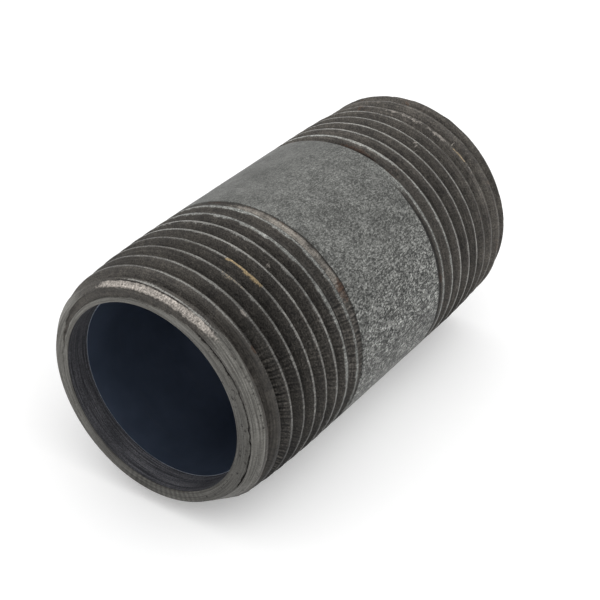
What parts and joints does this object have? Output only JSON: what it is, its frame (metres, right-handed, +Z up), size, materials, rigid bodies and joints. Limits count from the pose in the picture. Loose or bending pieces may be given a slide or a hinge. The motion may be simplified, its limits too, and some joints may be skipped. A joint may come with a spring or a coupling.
{
  "type": "threaded pipe nipple",
  "caption": "Short galvanised steel barrel nipple with a right-hand taper pipe thread on each end, a plain zinc-coated middle and a straight through bore.",
  "frame": {"origin": "middle of the bore, halfway between the two end faces, on the pipe's axis", "axes": "+X along the pipe's axis, from the near end, whose bevel is larger, to the far end; +Z up as the nipple lies on its side"},
  "size_m": [0.06, 0.0338, 0.0338],
  "materials": {
    "cut_steel": "bare die-cut carbon steel, darkened by cutting oil, with worn bright crests",
    "zinc_outside": "dull hot-dip zinc with a fine mottled grain and small pits",
    "zinc_inside": "smooth dark zinc lining, blue-black in shade"
  },
  "bodies": {
    "root": {"steel_pipe": "cut_steel", "barrel_zinc": "zinc_outside", "bore_zinc": "zinc_inside"}
  },
  "joints": []
}
